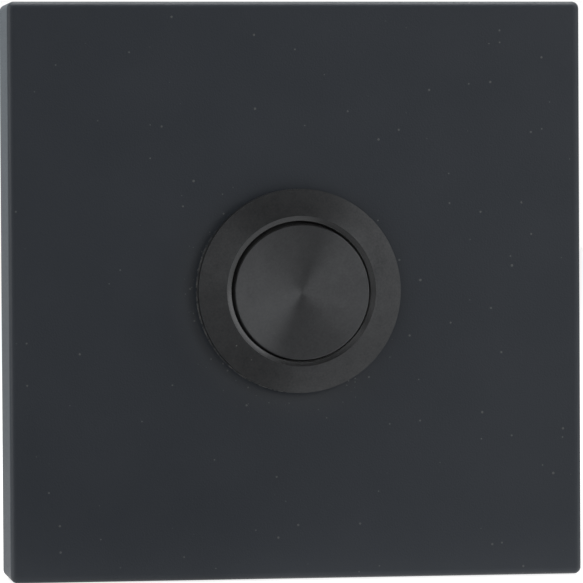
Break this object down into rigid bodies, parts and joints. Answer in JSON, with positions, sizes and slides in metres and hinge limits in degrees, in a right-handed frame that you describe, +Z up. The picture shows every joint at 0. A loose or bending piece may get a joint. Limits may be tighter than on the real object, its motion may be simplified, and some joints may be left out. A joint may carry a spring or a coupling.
{
  "type": "doorbell push button",
  "caption": "Square wall-mounted doorbell push with a matt coated cover plate, a turned conical bezel and a round sprung button that closes an electrical contact behind it.",
  "frame": {"origin": "on the wall plane, in line with the button's axis, which is the middle of the back face", "axes": "+Z up, +X to the right as seen from the front, +Y into the wall: the button is pressed along +Y"},
  "size_m": [0.05, 0.0218, 0.05],
  "materials": {
    "plate_coat": "fine matt powder coat, near black",
    "turned_black": "black anodised, with concentric turning marks",
    "base_nylon": "moulded, lightly textured",
    "insert_plastic": "moulded, smooth",
    "rubber": "matt",
    "brass": "bright turned",
    "spring_steel": "drawn wire",
    "plated_steel": "zinc plated"
  },
  "bodies": {
    "housing": {"cover_plate": "plate_coat", "mounting_base": "base_nylon", "bezel_body": "turned_black", "panel_gasket": "rubber", "lock_washer": "spring_steel", "lock_nut": "plated_steel", "terminal_base": "insert_plastic", "retaining_ring": "spring_steel", "contact_post_left": "brass", "contact_post_right": "brass", "terminal_washer_left": "plated_steel", "terminal_washer_right": "plated_steel", "terminal_screw_left": "plated_steel", "terminal_screw_right": "plated_steel", "return_spring": "spring_steel"},
    "button": {"button_cap": "turned_black", "cap_seal": "rubber", "plunger": "insert_plastic", "contact_bridge": "brass", "contact_spring": "spring_steel"}
  },
  "joints": [
    {"name": "button_press", "type": "slide", "parent": "housing", "child": "button", "axis": [0, 1, 0], "range_m": [0, 0.0015], "stiffness_N_per_m": 900, "springref_m": -0.003, "deforming": ["return_spring"]}
  ]
}
